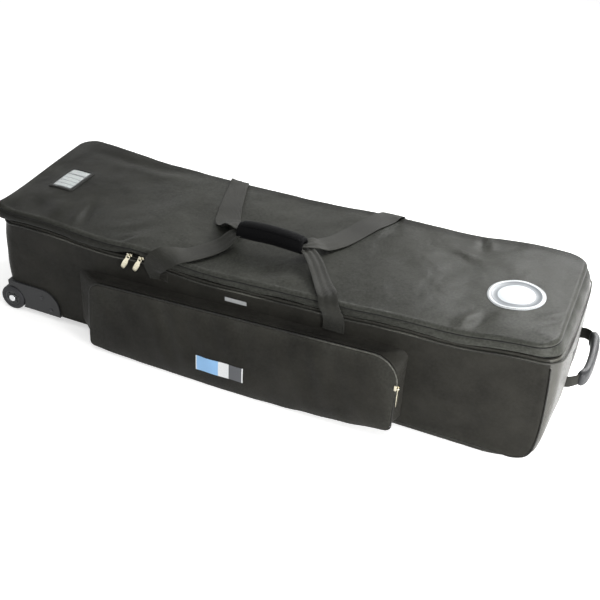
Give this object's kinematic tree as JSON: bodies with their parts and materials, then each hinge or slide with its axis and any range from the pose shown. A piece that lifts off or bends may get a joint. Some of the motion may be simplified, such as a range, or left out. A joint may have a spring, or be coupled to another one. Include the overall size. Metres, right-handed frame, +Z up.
{
  "type": "drum hardware case",
  "caption": "Long padded soft case for drum hardware: wheels at one end, hinged zipped lid, zipped front pocket, webbing carry loops joined by a padded grip, and a padded end handle.",
  "frame": {"origin": "on the ground, at the middle of the overall footprint, with the case standing level on its wheels and feet", "axes": "+X along the case from the wheels to the end handle, +Y from the front pocket to the lid's hinge, +Z up"},
  "size_m": [1.2916, 0.427, 0.3164],
  "materials": {
    "nylon": "woven nylon, charcoal, semi-matt",
    "lid_nylon": "woven nylon, charcoal, soft sheen",
    "piping": "black vinyl cord edging",
    "tape": "woven black tape",
    "chain": "black moulded coil",
    "nickel": "bright nickel plate",
    "housing": "moulded black plastic",
    "rubber": "black rubber",
    "hub": "moulded grey plastic",
    "cap": "bright push cap",
    "webbing": "ribbed polypropylene webbing",
    "pad": "soft padded sleeve",
    "board": "stiffener board, covered in black",
    "window": "clear vinyl",
    "card": "white card",
    "patch": "light grey moulded patch",
    "tag": "light woven tag",
    "label": "pale blue printed tag without text"
  },
  "bodies": {
    "case": {"floor_panel": "nylon", "front_wall": "nylon", "rear_wall": "nylon", "wheel_end_wall": "nylon", "handle_end_wall": "nylon", "floor_board": "board", "wheel_end_board": "board", "handle_end_board": "board", "rim_piping": "piping", "front_panel_piping": "piping", "rear_panel_piping": "piping", "tub_zip_tape": "tape", "tub_zip_teeth": "chain", "wheel_housing_front": "housing", "wheel_housing_rear": "housing", "axle_front": "cap", "axle_rear": "cap", "housing_screw_front_1": "nickel", "housing_screw_front_2": "nickel", "housing_screw_rear_1": "nickel", "housing_screw_rear_2": "nickel", "foot_front": "rubber", "foot_rear": "rubber", "pocket_gusset": "nylon", "pocket_zip": "chain", "front_tag": "tag", "end_handle_patch": "webbing"},
    "lid": {"lid_panel": "lid_nylon", "lid_skirt": "lid_nylon", "lid_piping": "piping", "lid_zip_teeth": "chain", "lid_zip_tape": "tape", "lid_hinge_tape": "tape", "card_window_frame": "piping", "name_card": "card", "card_window_sheet": "window", "round_patch": "patch"},
    "front_wheel": {"tyre_front": "rubber", "wheel_hub_front": "hub"},
    "rear_wheel": {"tyre_rear": "rubber", "wheel_hub_rear": "hub"},
    "left_slider": {"left_zip_slider": "nickel"},
    "left_pull": {"left_zip_pull": "nickel"},
    "right_slider": {"right_zip_slider": "nickel"},
    "right_pull": {"right_zip_pull": "nickel"},
    "pocket_flap": {"pocket_face": "nylon", "pocket_piping": "piping", "pocket_label": "label"},
    "pocket_slider": {"pocket_zip_slider": "nickel"},
    "pocket_pull": {"pocket_zip_pull": "nickel"},
    "front_loop": {"front_carry_loop": "webbing", "carry_grip": "pad"},
    "rear_loop": {"rear_carry_loop": "webbing"},
    "end_handle": {"end_handle_webbing": "webbing", "end_handle_pad": "pad"}
  },
  "joints": [
    {"name": "lid_hinge", "type": "hinge", "parent": "case", "child": "lid", "pos_m": [-0.01577, 0.20445, 0.2595], "axis": [-0.9999, 0, -0.0125], "range_deg": [0, 110], "deforming": ["lid_hinge_tape"]},
    {"name": "front_loop_swing", "type": "hinge", "parent": "case", "child": "front_loop", "pos_m": [-0.01577, -0.15465, 0.221], "axis": [1, 0, 0], "range_deg": [0, 145], "deforming": ["front_carry_loop", "carry_grip"]},
    {"name": "rear_loop_swing", "type": "hinge", "parent": "case", "child": "rear_loop", "pos_m": [-0.01577, 0.20155, 0.221], "axis": [-1, 0, 0], "range_deg": [0, 145], "deforming": ["rear_carry_loop"]},
    {"name": "front_wheel_spin", "type": "hinge", "parent": "case", "child": "front_wheel", "pos_m": [-0.61577, -0.14655, 0.03], "axis": [0, 1, 0], "continuous": true},
    {"name": "rear_wheel_spin", "type": "hinge", "parent": "case", "child": "rear_wheel", "pos_m": [-0.61577, 0.19345, 0.03], "axis": [0, 1, 0], "continuous": true},
    {"name": "left_slider_slide", "type": "slide", "parent": "case", "child": "left_slider", "axis": [-1, 0, 0.0035], "range_m": [0, 0.256]},
    {"name": "left_pull_lift", "type": "hinge", "parent": "left_slider", "child": "left_pull", "pos_m": [-0.29977, -0.15805, 0.24302], "axis": [-0.9397, 0, 0.342], "range_deg": [0, 95]},
    {"name": "right_slider_slide", "type": "slide", "parent": "case", "child": "right_slider", "axis": [0.9999, 0, 0.0172], "range_m": [0, 0.756]},
    {"name": "right_pull_lift", "type": "hinge", "parent": "right_slider", "child": "right_pull", "pos_m": [-0.27177, -0.15805, 0.24308], "axis": [-0.9397, 0, 0.342], "range_deg": [0, 95]},
    {"name": "pocket_flap_hinge", "type": "hinge", "parent": "case", "child": "pocket_flap", "pos_m": [-0.01577, -0.20115, 0.019], "axis": [1, 0, 0], "range_deg": [0, 75]},
    {"name": "pocket_slider_turn", "type": "hinge", "parent": "case", "child": "pocket_slider", "pos_m": [0.25523, -0.19685, 0.1404], "axis": [0, -1, 0], "range_deg": [0, 85]},
    {"name": "pocket_pull_lift", "type": "hinge", "parent": "pocket_slider", "child": "pocket_pull", "pos_m": [0.31603, -0.19685, 0.137], "axis": [0, -1, 0], "range_deg": [0, 150]},
    {"name": "end_handle_swing", "type": "hinge", "parent": "case", "child": "end_handle", "pos_m": [0.6134, 0.02345, 0.159], "axis": [0, -1, 0], "range_deg": [-40, 40]}
  ],
  "couplings": [
    {"joint": "front_loop_swing", "follows": "lid_hinge", "ratio": 1.318},
    {"joint": "rear_loop_swing", "follows": "lid_hinge", "ratio": 1.318}
  ]
}
